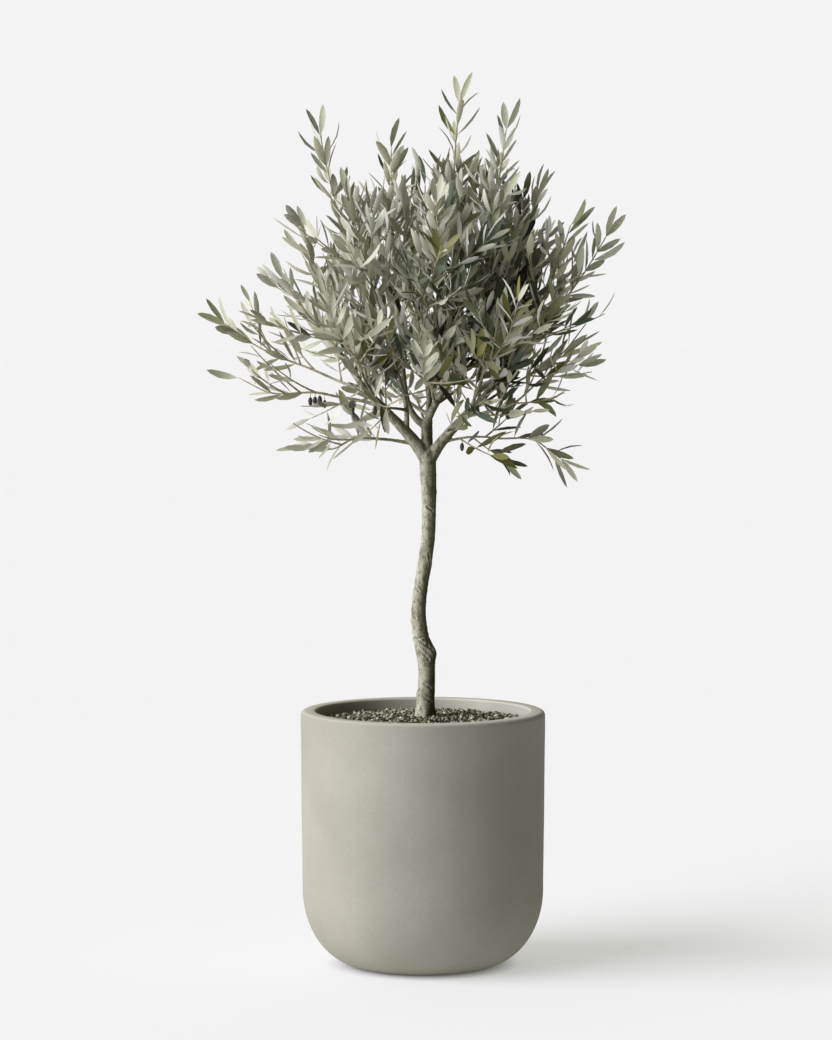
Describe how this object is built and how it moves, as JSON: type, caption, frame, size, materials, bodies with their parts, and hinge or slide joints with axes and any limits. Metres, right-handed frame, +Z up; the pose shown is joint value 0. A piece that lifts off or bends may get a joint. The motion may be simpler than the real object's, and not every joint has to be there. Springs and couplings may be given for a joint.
{
  "type": "potted olive tree",
  "caption": "Young standard olive tree with a bare slim trunk and an open round crown of narrow grey-green leaves, in a round-footed cylindrical planter topped with grit.",
  "frame": {"origin": "centre of the planter's flat underside, on the floor", "axes": "+Z up along the planter's axis, +X to the right and -Y towards the viewer"},
  "size_m": [0.7718, 0.677, 1.627],
  "materials": {
    "pot": "fine-grained matt grey-green cast surface",
    "soil": "loose grit, dark brown and beige grains",
    "bark": "smooth young grey-green bark, dull",
    "foliage": "satin leaves, darker above and silvery below"
  },
  "bodies": {
    "root": {"pot": "pot", "soil": "soil", "trunk": "bark", "bough_left": "bark", "bough_centre": "bark", "bough_right": "bark", "bough_back": "bark", "bough_centre_left": "bark", "bough_centre_right": "bark", "bough_left_inner": "bark", "branch_left_low": "bark", "branch_left_long": "bark", "branch_left_high": "bark", "branch_left_shoulder": "bark", "branch_left_tall": "bark", "branch_front_left": "bark", "branch_front_low": "bark", "branch_front_low_left": "bark", "branch_front_low_right": "bark", "branch_front_high": "bark", "branch_front_right": "bark", "branch_top_back": "bark", "branch_top_tall": "bark", "branch_right_high": "bark", "branch_right_long": "bark", "branch_right_mid": "bark", "branch_right_side": "bark", "branch_right_drop": "bark", "branch_back_low": "bark", "branch_back_left": "bark", "branch_back_right": "bark", "foliage_left_low": "foliage", "foliage_left_long": "foliage", "foliage_left_high": "foliage", "foliage_left_crown": "foliage", "foliage_left_shoulder": "foliage", "foliage_left_tall": "foliage", "foliage_front_left_top": "foliage", "foliage_top_left": "foliage", "foliage_top_back": "foliage", "foliage_top_tall": "foliage", "foliage_top_right": "foliage", "foliage_right_high": "foliage", "foliage_right_crown": "foliage", "foliage_right_long": "foliage", "foliage_right_mid": "foliage", "foliage_right_side": "foliage", "foliage_right_drop": "foliage", "foliage_front_left": "foliage", "foliage_front_low": "foliage", "foliage_front_low_left": "foliage", "foliage_front_low_right": "foliage", "foliage_front_high": "foliage", "foliage_front_right": "foliage", "foliage_back_low": "foliage", "foliage_back_left": "foliage", "foliage_back": "foliage", "foliage_back_right": "foliage"}
  },
  "joints": []
}
